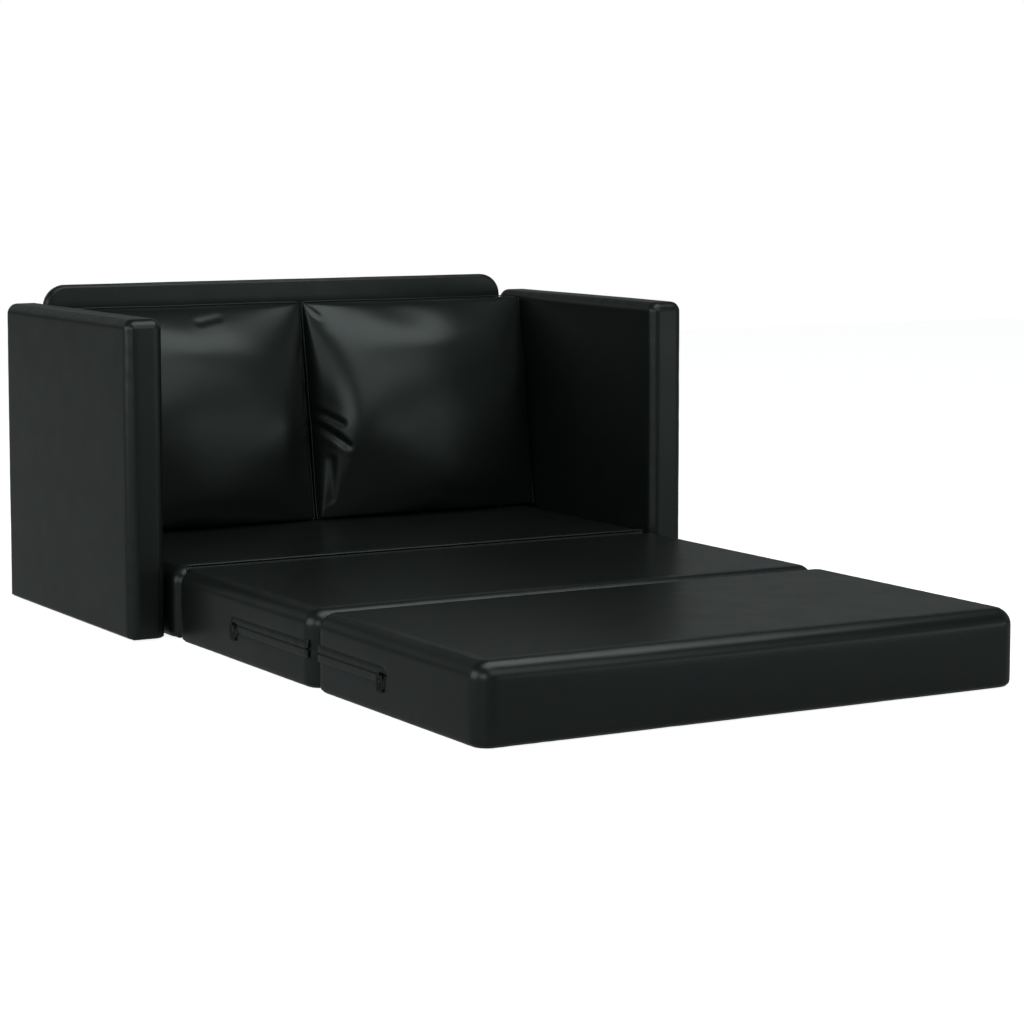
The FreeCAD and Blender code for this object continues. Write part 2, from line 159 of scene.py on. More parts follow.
def makeFloor():
    half = studio["floorSize"] / 2
    z = -studio["floorDrop"]
    mesh = bpy.data.meshes.new("studioFloor")
    mesh.from_pydata([(-half, -half, z), (half, -half, z), (half, half, z), (-half, half, z)], [], [(0, 1, 2, 3)])
    item = bpy.data.objects.new("studioFloor", mesh)
    scene.collection.objects.link(item)
    material = bpy.data.materials.new("studioFloor")
    material.use_nodes = True
    shader = material.node_tree.nodes["Principled BSDF"]
    tone = studio["floorTone"]
    shader.inputs["Base Color"].default_value = (tone, tone, tone, 1)
    shader.inputs["Roughness"].default_value = 0.9
    shader.inputs["Emission Color"].default_value = (1, 1, 1, 1)
    shader.inputs["Emission Strength"].default_value = studio["floorGlow"]
    mesh.materials.append(material)
    item.visible_glossy = False
    item.visible_diffuse = False
    item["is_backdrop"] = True


makeCamera()
makeLights()
makeRoom()
makeFloor()
print("studio ready")


# materials
def addNode(tree, kind, inputs, **settings):
    item = tree.nodes.new(kind)
    for key, value in settings.items():
        setattr(item, key, value)
    for key, value in inputs.items():
        if isinstance(value, bpy.types.NodeSocket):
            tree.links.new(value, item.inputs[key])
        else:
            item.inputs[key].default_value = value
    return item


def startMaterial(name, stretch=(1, 1, 1)):
    material = bpy.data.materials.new(name)
    material.use_nodes = True
    tree = material.node_tree
    shader = tree.nodes["Principled BSDF"]
    coordinates = tree.nodes.new("ShaderNodeTexCoord")
    mapping = addNode(tree, "ShaderNodeMapping", {"Vector": coordinates.outputs["Object"], "Scale": stretch})
    return material, tree, shader, mapping.outputs["Vector"]


def colourRamp(tree, factor, low, high, lowTone, highTone):
    item = addNode(tree, "ShaderNodeValToRGB", {"Fac": factor})
    item.color_ramp.elements[0].position = low
    item.color_ramp.elements[1].position = high
    item.color_ramp.elements[0].color = (*lowTone, 1)
    item.color_ramp.elements[1].color = (*highTone, 1)
    return item.outputs["Color"]


def rangeOf(tree, factor, low, high, lowValue, highValue):
    item = addNode(tree, "ShaderNodeMapRange", {
        "Value": factor, "From Min": low, "From Max": high, "To Min": lowValue, "To Max": highValue})
    return item.outputs["Result"]


def bumpOf(tree, height, depth, before=None):
    item = addNode(tree, "ShaderNodeBump", {"Height": height, "Distance": depth, "Strength": 1.0})
    if before is not None:
        tree.links.new(before, item.inputs["Normal"])
    return item.outputs["Normal"]


leatherLook = {
    "deepTone": (0.0083, 0.0099, 0.0095), "paleTone": (0.0102, 0.0121, 0.0116), "wornTone": (0.020, 0.0235, 0.0228),
    "glossTone": (0.93, 1.0, 0.985),
    "roughness": 0.31, "roughnessSpread": 0.02, "wornRoughness": 0.28,
    "grainSize": 1.3 * mm, "grainDepth": 0.011 * mm,
    "creaseSize": 9 * mm, "creaseDepth": 0.012 * mm,
    "swellSize": 90 * mm, "swellDepth": 0.12 * mm, "mottleSize": 55 * mm, "wearShare": 0.35,
}


def makeLeather(look):
    material, tree, shader, place = startMaterial("blackLeather")
    cells = addNode(tree, "ShaderNodeTexVoronoi", {"Vector": place, "Scale": 1 / look["grainSize"]},
                    feature="DISTANCE_TO_EDGE")
    creases = addNode(tree, "ShaderNodeTexNoise", {
        "Vector": place, "Scale": 1 / look["creaseSize"], "Detail": 5.0, "Roughness": 0.6, "Distortion": 0.8})
    swell = addNode(tree, "ShaderNodeTexNoise", {"Vector": place, "Scale": 1 / look["swellSize"], "Detail": 1.0})
    mottle = addNode(tree, "ShaderNodeTexNoise", {"Vector": place, "Scale": 1 / look["mottleSize"], "Detail": 4.0})
    wear = addNode(tree, "ShaderNodeAttribute", {}, attribute_name="wear")
    patchy = addNode(tree, "ShaderNodeMath", {0: wear.outputs["Fac"], 1: creases.outputs["Fac"]},
                     operation="MULTIPLY")
    worn = rangeOf(tree, patchy.outputs["Value"], 0.1, 0.7, 0.0, look["wearShare"])
    tone = colourRamp(tree, mottle.outputs["Fac"], 0.35, 0.65, look["deepTone"], look["paleTone"])
    mixed = addNode(tree, "ShaderNodeMix", {0: worn, 6: tone, 7: (*look["wornTone"], 1)}, data_type="RGBA")
    tree.links.new(mixed.outputs[2], shader.inputs["Base Color"])
    shader.inputs["Specular Tint"].default_value = (*look["glossTone"], 1)
    low = look["roughness"] - look["roughnessSpread"]
    high = look["roughness"] + look["roughnessSpread"]
    rough = rangeOf(tree, mottle.outputs["Fac"], 0.3, 0.7, high, low)
    polish = addNode(tree, "ShaderNodeMix", {0: worn, 2: rough, 3: look["wornRoughness"]})
    tree.links.new(polish.outputs[0], shader.inputs["Roughness"])
    relief = bumpOf(tree, swell.outputs["Fac"], look["swellDepth"])
    relief = bumpOf(tree, creases.outputs["Fac"], look["creaseDepth"], relief)
    relief = bumpOf(tree, cells.outputs["Distance"], look["grainDepth"], relief)
    tree.links.new(relief, shader.inputs["Normal"])
    return material


grainLooks = {
    # name: stretch, size of the pattern, two tones, roughness low and high, relief depth, metallic
    "foam": ((1, 1, 1), 2.2 * mm, (0.42, 0.37, 0.26), (0.66, 0.60, 0.44), 0.86, 0.96, 0.5 * mm, 0.0),
    "board": ((1, 1, 1), 3.5 * mm, (0.22, 0.14, 0.075), (0.36, 0.25, 0.14), 0.68, 0.85, 0.08 * mm, 0.0),
    "liningCloth": ((1, 1, 1), 6 * mm, (0.012, 0.012, 0.013), (0.028, 0.028, 0.030), 0.82, 0.95, 0.15 * mm, 0.0),
    "blackMetal": ((1, 1, 1), 4 * mm, (0.011, 0.011, 0.012), (0.024, 0.024, 0.025), 0.26, 0.42, 0.02 * mm, 0.75),
    "zincSteel": ((1, 1, 6), 5 * mm, (0.50, 0.51, 0.52), (0.70, 0.70, 0.69), 0.26, 0.44, 0.02 * mm, 1.0),
    "brass": ((1, 1, 5), 4 * mm, (0.56, 0.40, 0.15), (0.74, 0.55, 0.24), 0.22, 0.40, 0.02 * mm, 1.0),
    "blackPlastic": ((1, 1, 1), 1.6 * mm, (0.010, 0.010, 0.010), (0.019, 0.019, 0.019), 0.42, 0.60, 0.05 * mm, 0.0),
    "zipPlastic": ((1, 1, 1), 1.2 * mm, (0.010, 0.010, 0.011), (0.022, 0.022, 0.023), 0.24, 0.38, 0.02 * mm, 0.0),
}


def makeGrained(name):
    stretch, size, deep, pale, smooth, rough, depth, metallic = grainLooks[name]
    material, tree, shader, place = startMaterial(name, stretch)
    fine = addNode(tree, "ShaderNodeTexNoise", {
        "Vector": place, "Scale": 1 / size, "Detail": 6.0, "Roughness": 0.62})
    broad = addNode(tree, "ShaderNodeTexNoise", {"Vector": place, "Scale": 0.12 / size, "Detail": 3.0})
    both = addNode(tree, "ShaderNodeMath", {0: fine.outputs["Fac"], 1: broad.outputs["Fac"]}, operation="MULTIPLY")
    tree.links.new(colourRamp(tree, both.outputs["Value"], 0.12, 0.40, deep, pale), shader.inputs["Base Color"])
    tree.links.new(rangeOf(tree, broad.outputs["Fac"], 0.3, 0.7, smooth, rough), shader.inputs["Roughness"])
    height = fine.outputs["Fac"]
    if name == "foam":
        pores = addNode(tree, "ShaderNodeTexVoronoi", {"Vector": place, "Scale": 1 / size})
        height = pores.outputs["Distance"]
    tree.links.new(bumpOf(tree, height, depth), shader.inputs["Normal"])
    shader.inputs["Metallic"].default_value = metallic
    return material


timberLook = {"stretch": (1, 1, 0.09), "grainSize": 11 * mm,
              "deep": (0.30, 0.175, 0.085), "pale": (0.56, 0.38, 0.22)}


def makeTimber(look):
    material, tree, shader, place = startMaterial("timber", look["stretch"])
    rings = addNode(tree, "ShaderNodeTexWave", {
        "Vector": place, "Scale": 0.3 / look["grainSize"], "Distortion": 6.0, "Detail": 4.0, "Detail Scale": 1.6})
    fibres = addNode(tree, "ShaderNodeTexNoise", {"Vector": place, "Scale": 6 / look["grainSize"], "Detail": 6.0})
    both = addNode(tree, "ShaderNodeMath", {0: rings.outputs["Fac"], 1: fibres.outputs["Fac"]},
                   operation="MULTIPLY")
    tone = colourRamp(tree, both.outputs["Value"], 0.05, 0.6, look["deep"], look["pale"])
    tree.links.new(tone, shader.inputs["Base Color"])
    tree.links.new(rangeOf(tree, fibres.outputs["Fac"], 0.3, 0.7, 0.52, 0.72), shader.inputs["Roughness"])
    tree.links.new(bumpOf(tree, both.outputs["Value"], 0.12 * mm), shader.inputs["Normal"])
    return material


tapeLook = {"threadSize": 0.9 * mm, "depth": 0.12 * mm,
            "deep": (0.006, 0.006, 0.006), "pale": (0.020, 0.020, 0.021)}


def makeTape(look):
    material, tree, shader, place = startMaterial("zipTape")
    turns = [(0, 0, 0), (0, 0, math.pi / 2), (0, math.pi / 2, 0)]
    height = None
    for turn in turns:
        turned = addNode(tree, "ShaderNodeMapping", {"Vector": place, "Rotation": turn})
        threads = addNode(tree, "ShaderNodeTexWave", {
            "Vector": turned.outputs["Vector"], "Scale": 0.31 / look["threadSize"], "Distortion": 0.4})
        if height is None:
            height = threads.outputs["Fac"]
        else:
            height = addNode(tree, "ShaderNodeMath", {0: height, 1: threads.outputs["Fac"]},
                             operation="MAXIMUM").outputs["Value"]
    tree.links.new(colourRamp(tree, height, 0.1, 0.9, look["deep"], look["pale"]), shader.inputs["Base Color"])
    tree.links.new(rangeOf(tree, height, 0, 1, 0.9, 0.7), shader.inputs["Roughness"])
    tree.links.new(bumpOf(tree, height, look["depth"]), shader.inputs["Normal"])
    return material


threadLook = {"twist": 0.7 * mm, "deep": (0.006, 0.007, 0.007), "pale": (0.014, 0.016, 0.016)}


def makeThread(look):
    material, tree, shader, place = startMaterial("blackThread")
    twist = addNode(tree, "ShaderNodeTexWave", {
        "Vector": place, "Scale": 0.31 / look["twist"], "Distortion": 1.0}, bands_direction="DIAGONAL")
    tone = colourRamp(tree, twist.outputs["Fac"], 0.2, 0.8, look["deep"], look["pale"])
    tree.links.new(tone, shader.inputs["Base Color"])
    tree.links.new(rangeOf(tree, twist.outputs["Fac"], 0, 1, 0.62, 0.48), shader.inputs["Roughness"])
    tree.links.new(bumpOf(tree, twist.outputs["Fac"], 0.05 * mm), shader.inputs["Normal"])
    return material


finishes = {
    "black_leather": makeLeather(leatherLook), "foam": makeGrained("foam"), "timber": makeTimber(timberLook),
    "board": makeGrained("board"), "lining_cloth": makeGrained("liningCloth"), "zip_tape": makeTape(tapeLook),
    "zip_plastic": makeGrained("zipPlastic"), "black_metal": makeGrained("blackMetal"),
    "zinc_steel": makeGrained("zincSteel"), "brass": makeGrained("brass"),
    "black_plastic": makeGrained("blackPlastic"),
}
threadMaterial = makeThread(threadLook)
leather = finishes["black_leather"]

for node in frame["nodes"].values():
    for place in node.material_slots:
        place.material = finishes[place.material.name.split(".")[0]]
print("materials ready")


# shapes
def makePiece(name, points, faces, material, wear=None):
    mesh = bpy.data.meshes.new(name)
    mesh.from_pydata([tuple(p) for p in points], [], [tuple(f) for f in faces])
    mesh.validate()
    mesh.materials.append(material)
    if wear is not None and len(wear) == len(mesh.vertices):
        mesh.attributes.new("wear", "FLOAT", "POINT").data.foreach_set("value", np.asarray(wear, np.float32))
    mesh.shade_smooth()
    item = bpy.data.objects.new(name, mesh)
    scene.collection.objects.link(item)
    return item


def handOver(piece, body, node=None):
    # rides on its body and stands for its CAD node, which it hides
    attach(piece, body)
    if node is not None:
        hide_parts(node)


def vertexNormals(points, faces):
    # area-weighted, from the two diagonals of each face
    four = np.array([list(f) if len(f) == 4 else [f[0], f[1], f[2], f[2]] for f in faces])
    across = np.cross(points[four[:, 2]] - points[four[:, 0]], points[four[:, 3]] - points[four[:, 1]])
    flat = np.array([len(f) == 3 for f in faces])
    if flat.any():
        t = four[flat]
        across[flat] = np.cross(points[t[:, 1]] - points[t[:, 0]], points[t[:, 2]] - points[t[:, 0]])
    normals = np.zeros_like(points)
    for k in range(4):
        np.add.at(normals, four[:, k], across)
    return normals / np.maximum(np.linalg.norm(normals, axis=1, keepdims=True), 1e-12)


def waves(points, size, seed, count=9):
    # a smooth uneven field from -1 to 1, the same every run
    source = np.random.default_rng(seed)
    total = np.zeros(len(points))
    for _ in range(count):
        direction = source.normal(size=3)
        direction /= np.linalg.norm(direction)
        stride = size * source.uniform(0.7, 1.7)
        total += np.sin(points @ direction * (2 * math.pi / stride) + source.uniform(0, 2 * math.pi))
    return total / math.sqrt(count * 2)


def blockMesh(low, high, corners, near, far, step, arcSteps, order="xyz", sideShare=(1, 1, 1, 1), farSeamShare=0.5):
    # rings of a rounded rectangle in (u, v) climb along w; near and far round the two ends
    axes = ["xyz".index(letter) for letter in order]
    a = [low[k] for k in axes]
    b = [high[k] for k in axes]
    last = max(*corners, near, far)
    countU = max(2, round((b[0] - a[0] - 2 * last) / step))
    countV = max(2, round((b[1] - a[1] - 2 * last) / step))

    def limits(inset):
        return (a[0] + inset * sideShare[0], b[0] - inset * sideShare[1],
                a[1] + inset * sideShare[2], b[1] - inset * sideShare[3])

    def ring(inset):
        u0, u1, v0, v1 = limits(inset)
        spots = []
        marks = [(u0, v0, 1, 1, 180, countU), (u1, v0, -1, 1, 270, countV),
                 (u1, v1, -1, -1, 0, countU), (u0, v1, 1, -1, 90, countV)]
        arcs = []
        for (u, v, du, dv, start, _), size in zip(marks, corners):
            radius = max(size - inset, 0)
            middle = (u + du * radius, v + dv * radius)
            turn = [math.radians(start + 90 * k / arcSteps) for k in range(arcSteps + 1)]
            arcs.append([(middle[0] + radius * math.cos(t), middle[1] + radius * math.sin(t)) for t in turn])
        for k in range(4):
            spots += arcs[k]
            first, then, count = arcs[k][-1], arcs[(k + 1) % 4][0], marks[k][5]
            for i in range(1, count):
                share = i / count
                spots.append((first[0] + (then[0] - first[0]) * share, first[1] + (then[1] - first[1]) * share))
        return spots

    rows = []
    flatNear = max(1, round((last - near) / step)) if last > near else 0
    for i in range(flatNear):
        rows.append((last + (near - last) * i / flatNear, a[2]))
    for i in range(arcSteps + 1):
        t = math.pi / 2 * i / arcSteps
        rows.append((near * (1 - math.sin(t)), a[2] + near * (1 - math.cos(t))))
    wall = b[2] - a[2] - near - far
    wallSteps = max(2, round(wall / step))
    for i in range(1, wallSteps):
        rows.append((0, a[2] + near + wall * i / wallSteps))
    for i in range(arcSteps + 1):
        t = math.pi / 2 * i / arcSteps
        rows.append((far * (1 - math.cos(t)), b[2] - far + far * math.sin(t)))
    flatFar = max(1, round((last - far) / step)) if last > far else 0
    for i in range(1, flatFar + 1):
        rows.append((far + (last - far) * i / flatFar, b[2]))

    points = []
    for inset, w in rows:
        points += [(u, v, w) for u, v in ring(inset)]
    around = len(points) // len(rows)
    quads = []
    for i in range(len(rows) - 1):
        for j in range(around):
            k = (j + 1) % around
            quads.append((i * around + j, i * around + k, (i + 1) * around + k, (i + 1) * around + j))
    profile = [0.0]
    for before, after in zip(rows, rows[1:]):
        profile.append(profile[-1] + math.hypot(after[0] - before[0], after[1] - before[1]))
    along = list(np.repeat(profile, around))
    u0, u1, v0, v1 = limits(last)
    farAway = 1.0  # the flat ends lie out of reach of every seam
    for w, up, beyond in ((a[2], False, -farAway), (b[2], True, profile[-1] + farAway)):
        base = len(points)
        for i in range(countU + 1):
            for j in range(countV + 1):
                points.append((u0 + (u1 - u0) * i / countU, v0 + (v1 - v0) * j / countV, w))
                along.append(beyond)
        for i in range(countU):
            for j in range(countV):
                q = [base + i * (countV + 1) + j, base + (i + 1) * (countV + 1) + j,
                     base + (i + 1) * (countV + 1) + j + 1, base + i * (countV + 1) + j + 1]
                quads.append(tuple(q if up else q[::-1]))

    points = np.array(points)
    _, firsts, places = np.unique(np.round(points, 7), axis=0, return_index=True, return_inverse=True)
    places = places.reshape(-1)
    quads = places[np.array(quads)]
    faces = []
    for q in quads.tolist():
        if len(set(q)) == 4:
            faces.append(q)
        else:
            short = [p for k, p in enumerate(q) if p != q[k - 1]]
            if len(set(short)) >= 3:
                faces.append(short)
    world = np.zeros((len(firsts), 3))
    for k, axis in enumerate(axes):
        world[:, axis] = points[firsts][:, k]
    rowPoints = [places[i * around:(i + 1) * around] for i in range(len(rows))]
    return {"points": world, "faces": faces, "along": np.array(along)[firsts], "rows": rowPoints,
            "profile": profile, "nearRow": flatNear + arcSteps // 2,
            "farRow": flatNear + arcSteps + wallSteps + round(arcSteps * farSeamShare)}


seamLook = {"depth": 0.45 * mm, "width": 1.3 * mm,
            "puckerDepth": 0.22 * mm, "puckerSize": 26 * mm, "puckerReach": 11 * mm}


def seamDip(block, seams, seed):
    look = seamLook
    dip = np.zeros(len(block["points"]))
    gathers = waves(block["points"], look["puckerSize"], seed)
    for seam in seams:
        distance = np.abs(block["along"] - seam)
        dip -= look["depth"] * np.exp(-(distance / look["width"]) ** 2)
        dip += look["puckerDepth"] * gathers * np.exp(-(distance / look["puckerReach"]) ** 2)
    return dip


def crownOf(points, normals, low, high, heights):
    # how far each face bulges in its middle, or the top sinks at its edges: for -x, +x, -y, +y, -z, +z
    low, high = np.array(low), np.array(high)
    share = np.clip((points - (low + high) / 2) / ((high - low) / 2), -1, 1)
    swell = 1 - np.abs(share) ** 3
    total = np.zeros(len(points))
    for axis in range(3):
        others = [k for k in range(3) if k != axis]
        bulge = swell[:, others[0]] * swell[:, others[1]]
        facing = np.clip(np.abs(normals[:, axis]), 0, 1) ** 2
        side = np.where(normals[:, axis] > 0, heights[2 * axis + 1], heights[2 * axis])
        if axis == 2:
            bulge = bulge - 1
        total += facing * bulge * side
    return total


def wearOf(normals):
    return np.clip((1 - np.abs(normals).max(axis=1)) / 0.29, 0, 1) ** 1.5


# one geometry tree lays a thread bead at every step along the seam lines
def makeStitchTree():
    tree = bpy.data.node_groups.new("stitchRows", "GeometryNodeTree")
    face = tree.interface
    face.new_socket("Geometry", in_out="INPUT", socket_type="NodeSocketGeometry")
    for name, size in (("Pitch", 4 * mm), ("Bead Length", 3 * mm), ("Bead Thickness", 0.8 * mm)):
        face.new_socket(name, in_out="INPUT", socket_type="NodeSocketFloat").default_value = size
    face.new_socket("Finish", in_out="INPUT", socket_type="NodeSocketMaterial")
    face.new_socket("Geometry", in_out="OUTPUT", socket_type="NodeSocketGeometry")
    given = tree.nodes.new("NodeGroupInput")
    result = tree.nodes.new("NodeGroupOutput")
    curves = addNode(tree, "GeometryNodeMeshToCurve", {"Mesh": given.outputs["Geometry"]})
    spaced = addNode(tree, "GeometryNodeResampleCurve", {
        "Curve": curves.outputs["Curve"], "Length": given.outputs["Pitch"]}, mode="LENGTH")
    bead = addNode(tree, "GeometryNodeMeshUVSphere", {"Segments": 6, "Rings": 4, "Radius": 0.5})
    size = addNode(tree, "ShaderNodeCombineXYZ", {
        "X": given.outputs["Bead Length"], "Y": given.outputs["Bead Thickness"],
        "Z": given.outputs["Bead Thickness"]})
    shaped = addNode(tree, "GeometryNodeTransform", {
        "Geometry": bead.outputs["Mesh"], "Scale": size.outputs["Vector"]})
    tangent = tree.nodes.new("GeometryNodeInputTangent")
    aim = addNode(tree, "FunctionNodeAlignEulerToVector", {"Vector": tangent.outputs["Tangent"]}, axis="X")
    laid = addNode(tree, "GeometryNodeInstanceOnPoints", {
        "Points": spaced.outputs["Curve"], "Instance": shaped.outputs["Geometry"],
        "Rotation": aim.outputs["Rotation"]})
    real = addNode(tree, "GeometryNodeRealizeInstances", {"Geometry": laid.outputs["Instances"]})
    smooth = addNode(tree, "GeometryNodeSetShadeSmooth", {"Geometry": real.outputs["Geometry"]})
    painted = addNode(tree, "GeometryNodeSetMaterial", {
        "Geometry": smooth.outputs["Geometry"], "Material": given.outputs["Finish"]})
    tree.links.new(painted.outputs["Geometry"], result.inputs["Geometry"])
    return tree


stitchTree = makeStitchTree()
stitchLook = {"Pitch": 5.2 * mm, "Bead Length": 3.9 * mm, "Bead Thickness": 0.6 * mm}
stitchPaths = {}  # body: list of (points, closed)


def addStitches(body, points, closed=False):
    stitchPaths.setdefault(body, []).append((np.array(points), closed))


def layStitches():
    for body, paths in stitchPaths.items():
        points, edges = [], []
        for path, closed in paths:
            base = len(points)
            points += [tuple(p) for p in path]
            edges += [(base + k, base + k + 1) for k in range(len(path) - 1)]
            if closed:
                edges.append((base + len(path) - 1, base))
        mesh = bpy.data.meshes.new("seamLines")
        mesh.from_pydata(points, edges, [])
        lines = bpy.data.objects.new("seamLines", mesh)
        scene.collection.objects.link(lines)
        modifier = lines.modifiers.new("stitchRows", "NODES")
        modifier.node_group = stitchTree
        for item in stitchTree.interface.items_tree:
            if item.in_out == "INPUT" and item.name in stitchLook:
                modifier[item.identifier] = stitchLook[item.name]
            if item.in_out == "INPUT" and item.name == "Finish":
                modifier[item.identifier] = threadMaterial
        seen = lines.evaluated_get(bpy.context.evaluated_depsgraph_get())
        beads = bpy.data.objects.new(body + "_stitches", bpy.data.meshes.new_from_object(seen))
        bpy.data.objects.remove(lines)
        scene.collection.objects.link(beads)
        handOver(beads, body)
        print("stitches", body, len(beads.data.polygons))


def tubePoints(path, radius, sides, closed, flat=1.0):
    path = np.array(path)
    if closed:
        tangents = np.roll(path, -1, axis=0) - np.roll(path, 1, axis=0)
    else:
        tangents = np.gradient(path, axis=0)
    tangents /= np.maximum(np.linalg.norm(tangents, axis=1, keepdims=True), 1e-12)
    up = np.array([0.0, 0.0, 1.0]) if abs(tangents[0][2]) < 0.9 else np.array([1.0, 0.0, 0.0])
    points, faces = [], []
    for spot, tangent in zip(path, tangents):
        up = up - tangent * (up @ tangent)
        up /= np.linalg.norm(up)
        side = np.cross(tangent, up)
        for k in range(sides):
            t = 2 * math.pi * k / sides
            points.append(spot + radius * (math.cos(t) * up * flat + math.sin(t) * side))
    count = len(path)
    for i in range(count if closed else count - 1):
        for k in range(sides):
            n = (k + 1) % sides
            j = (i + 1) % count
            faces.append((i * sides + k, i * sides + n, j * sides + n, j * sides + k))
    if not closed:
        faces.append(tuple(range(sides))[::-1])
        faces.append(tuple((count - 1) * sides + k for k in range(sides)))
    return points, [f[::-1] for f in faces]


# upholstered blocks: arms, back panel, base and folding sections
blockLook = {"step": 6 * mm, "arcSteps": 14, "topLimit": 0.3 * mm,
             "unevenDepth": 0.35 * mm, "unevenSize": 260 * mm, "unevenSeed": 40, "gatherSeed": 60,
             "stitchRows": 3, "stitchRise": 0.15 * mm, "shortest": 0.4 * mm}

upholstery = {
    # corner radii start at (u low, v low) and go round; crown is for -x, +x, -y, +y, -z, +z
    "left_arm_cover": {
        "body": "sofa_frame", "order": "yzx", "corners": (8, 8, 20, 20), "near": 20, "far": 20,
        "sideShare": (1, 1, 0.4, 1), "crown": (1.6, 0.9, 0.6, 0.2, 0, 0.5), "seams": ("near", "far"), "fill": 0.9},
    "right_arm_cover": {
        "body": "sofa_frame", "order": "yzx", "corners": (8, 8, 20, 20), "near": 20, "far": 20,
        "sideShare": (1, 1, 0.4, 1), "crown": (0.9, 1.6, 0.6, 0.2, 0, 0.5), "seams": ("near", "far"), "fill": 0.9},
    "back_cover": {
        "body": "sofa_frame", "order": "zxy", "corners": (8, 45, 45, 8), "near": 8, "far": 8,
        "crown": (0, 0, 0.6, 0.6, 0, 0), "seams": ("near",), "fill": 0.9},
    "base_cover": {
        "body": "sofa_frame", "order": "xyz", "corners": (30, 30, 30, 30), "near": 10, "far": 32,
        "crown": (0.5, 0.5, 0.4, 0.4, 0, 0.6), "seams": ("far",), "fill": 0.85},
    "middle_section_cover": {
        "body": "middle_section", "order": "xyz", "corners": (32, 32, 32, 32), "near": 12, "far": 30,
        "farSeamShare": 0.9, "crown": (2.0, 2.0, 0.5, 0.4, 0, 1.5), "seams": ("near", "far"), "fill": 0.85,
        "tape": "middle_zip_tape"},
    "front_section_cover": {
        "body": "front_section", "order": "xyz", "corners": (32, 32, 32, 32), "near": 12, "far": 30,
        "farSeamShare": 0.9, "crown": (2.0, 2.0, 5.0, 0.5, 0, 1.5), "seams": ("near", "far"), "fill": 0.85,
        "tape": "front_zip_tape"},
}

zipLook = {"valleyHalf": 15 * mm, "easeOut": 8 * mm, "pinchDepth": 0.9 * mm, "pinchReach": 16 * mm,
           "pinchStart": 3 * mm, "pinchWidth": 5 * mm, "pinchHalf": 13 * mm}


def zipShape(points, normals, tape):
    # the side face lies flat under its zip tape and gathers at the tape's ends
    low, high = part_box(tape)
    middle = (low[2] + high[2]) / 2
    beside = np.clip(-normals[:, 0], 0, 1)
    rise = points[:, 2] - middle
    inLength = np.clip((points[:, 1] - low[1]) / zipLook["easeOut"] + 1, 0, 1)
    inLength *= np.clip((high[1] - points[:, 1]) / zipLook["easeOut"] + 1, 0, 1)
    keep = 1 - beside * inLength * np.exp(-(rise / zipLook["valleyHalf"]) ** 4)
    pinch = np.zeros(len(points))
    for end, outward in ((low[1], -1), (high[1], 1)):
        away = (points[:, 1] - end) * outward
        reach = np.exp(-(away / zipLook["pinchReach"]) ** 2) * np.clip(away / zipLook["pinchStart"] + 1, 0, 1)
        fold = np.cos(rise / zipLook["pinchWidth"]) * np.exp(-(rise / zipLook["pinchHalf"]) ** 2)
        pinch -= zipLook["pinchDepth"] * beside * reach * fold
    return keep, pinch


def makeUpholstery():
    for number, (node, look) in enumerate(upholstery.items()):
        low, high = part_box(node)
        block = blockMesh(low, high, [c * mm for c in look["corners"]], look["near"] * mm, look["far"] * mm,
                          blockLook["step"], blockLook["arcSteps"], look["order"],
                          look.get("sideShare", (1, 1, 1, 1)), look.get("farSeamShare", 0.5))
        points = block["points"]
        normals = vertexNormals(points, block["faces"])
        lift = crownOf(points, normals, low, high, [h * mm for h in look["crown"]])
        uneven = waves(points, blockLook["unevenSize"], blockLook["unevenSeed"] + number)
        lift += blockLook["unevenDepth"] * uneven * (1 - wearOf(normals))
        seams = [block["profile"][block[side + "Row"]] for side in look["seams"]]
        lift += seamDip(block, seams, blockLook["gatherSeed"] + number)
        if "tape" in look:
            keep, pinch = zipShape(points, normals, look["tape"])
            lift = lift * keep + pinch
        # the face that rests on the floor or lies on its neighbour stays flat
        lift = np.where(normals[:, 2] < -0.9, np.minimum(lift, 0), lift)
        if look["order"] == "xyz":
            lift = np.where(normals[:, 2] > 0.9, np.minimum(lift, blockLook["topLimit"]), lift)
        shaped = points + normals * lift[:, None]
        name = node.replace("_cover", "_leather")
        piece = makePiece(name, shaped, block["faces"], leather, wearOf(normals))
        handOver(piece, look["body"], node)
        outward = vertexNormals(shaped, block["faces"])
        for side in look["seams"]:
            offset = blockLook["stitchRows"] * (1 if side == "near" else -1)
            row = block["rows"][block[side + "Row"] + offset]
            line = shaped[row] + outward[row] * blockLook["stitchRise"]
            keepers = [0]
            for k in range(1, len(line)):
                if np.linalg.norm(line[k] - line[keepers[-1]]) > blockLook["shortest"]:
                    keepers.append(k)
            addStitches(look["body"], line[keepers], closed=True)
        print("upholstery", name, len(block["faces"]))


makeUpholstery()

paddingLook = {"inset": 2.2 * mm, "step": 14 * mm, "arcSteps": 5,
               "parts": ("middle_section", "front_section", "base")}


def makePadding():
    for part in paddingLook["parts"]:
        look = upholstery[part + "_cover"]
        low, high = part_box(part + "_foam")
        spare = paddingLook["inset"]
        # the base's foam lies on its board with a square lower edge
        near = 0 if part == "base" else look["near"] * mm - spare
        floor = low[2] if part == "base" else low[2] + spare
        block = blockMesh([low[0] + spare, low[1] + spare, floor], [v - spare for v in high],
                          [c * mm - spare for c in look["corners"]], near, look["far"] * mm - spare,
                          paddingLook["step"], paddingLook["arcSteps"])
        piece = makePiece(part + "_padding", block["points"], block["faces"], finishes["foam"])
        handOver(piece, look["body"], part + "_foam")


makePadding()


